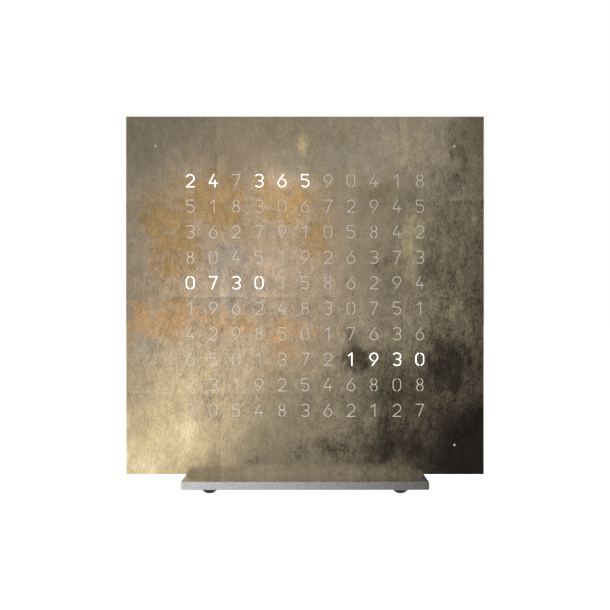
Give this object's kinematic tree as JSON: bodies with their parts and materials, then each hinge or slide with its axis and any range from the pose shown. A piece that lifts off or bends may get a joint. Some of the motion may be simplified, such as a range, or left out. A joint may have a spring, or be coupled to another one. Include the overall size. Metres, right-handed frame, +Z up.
{
  "type": "word clock",
  "caption": "Square desk clock with a lift-off metal-leaf front of cut-out stencil numerals lit from behind, on a flat steel foot plate with rubber feet.",
  "frame": {"origin": "centre of the foot plate, on the surface that the clock stands on", "axes": "+X to the clock's right as seen from the front, +Y from the front plate to the rear cover, +Z up"},
  "size_m": [0.135, 0.08, 0.14],
  "materials": {
    "leafed_steel": "aged gold and silver metal leaf under clear lacquer, on laser-cut stainless sheet",
    "milky_acrylic": "translucent cream, moulded",
    "satin_stainless": "ground from front to back on its faces, bead-blasted on its edges",
    "black_anodised": "bead-blasted and black anodised",
    "black_rubber": "matt",
    "zinc_steel": "zinc plated",
    "nickel_plate": "nickel plated magnet",
    "black_screw_steel": "black oxide",
    "grid_plastic": "moulded, fine texture",
    "board_laminate": "glass-cloth laminate with green solder mask",
    "lamp_resin": "white frame with clear resin",
    "rear_plastic": "ABS, spark-eroded texture",
    "button_plastic": "ABS, satin",
    "switch_plastic": "moulded",
    "chip_resin": "transfer-moulded epoxy",
    "socket_steel": "bright nickel on drawn steel",
    "can_metal": "drawn can"
  },
  "bodies": {
    "housing": {"side_frame": "black_anodised", "light_grid": "grid_plastic", "led_board": "board_laminate", "leds": "lamp_resin", "core_screws": "zinc_steel", "housing_magnets": "nickel_plate", "rear_cover": "rear_plastic", "rear_screws": "black_screw_steel", "switch_bodies": "switch_plastic", "power_socket": "socket_steel", "sounder": "switch_plastic", "cell_holder": "switch_plastic", "backup_cell": "can_metal", "microcontroller": "chip_resin", "driver_chips": "chip_resin", "clock_crystal": "can_metal", "capacitors": "can_metal", "foot_plate": "satin_stainless", "foot_block": "black_anodised", "foot_screws": "black_screw_steel", "rubber_feet": "black_rubber"},
    "cover": {"face_plate": "leafed_steel", "character_panel": "milky_acrylic", "strike_discs": "zinc_steel"},
    "hour_key": {"hour_button": "button_plastic", "hour_plunger": "switch_plastic"},
    "minute_key": {"minute_button": "button_plastic", "minute_plunger": "switch_plastic"},
    "brightness_key": {"brightness_button": "button_plastic", "brightness_plunger": "switch_plastic"},
    "alarm_key": {"alarm_button": "button_plastic", "alarm_plunger": "switch_plastic"}
  },
  "joints": [
    {"name": "cover_lift", "type": "slide", "parent": "housing", "child": "cover", "axis": [0, -1, 0], "range_m": [0, 0.045]},
    {"name": "hour_press", "type": "slide", "parent": "housing", "child": "hour_key", "axis": [0, -1, 0], "range_m": [0, 0.0005], "stiffness_N_per_m": 3000, "springref_m": -0.00015},
    {"name": "minute_press", "type": "slide", "parent": "housing", "child": "minute_key", "axis": [0, -1, 0], "range_m": [0, 0.0005], "stiffness_N_per_m": 3000, "springref_m": -0.00015},
    {"name": "brightness_press", "type": "slide", "parent": "housing", "child": "brightness_key", "axis": [0, -1, 0], "range_m": [0, 0.0005], "stiffness_N_per_m": 3000, "springref_m": -0.00015},
    {"name": "alarm_press", "type": "slide", "parent": "housing", "child": "alarm_key", "axis": [0, -1, 0], "range_m": [0, 0.0005], "stiffness_N_per_m": 3000, "springref_m": -0.00015}
  ]
}
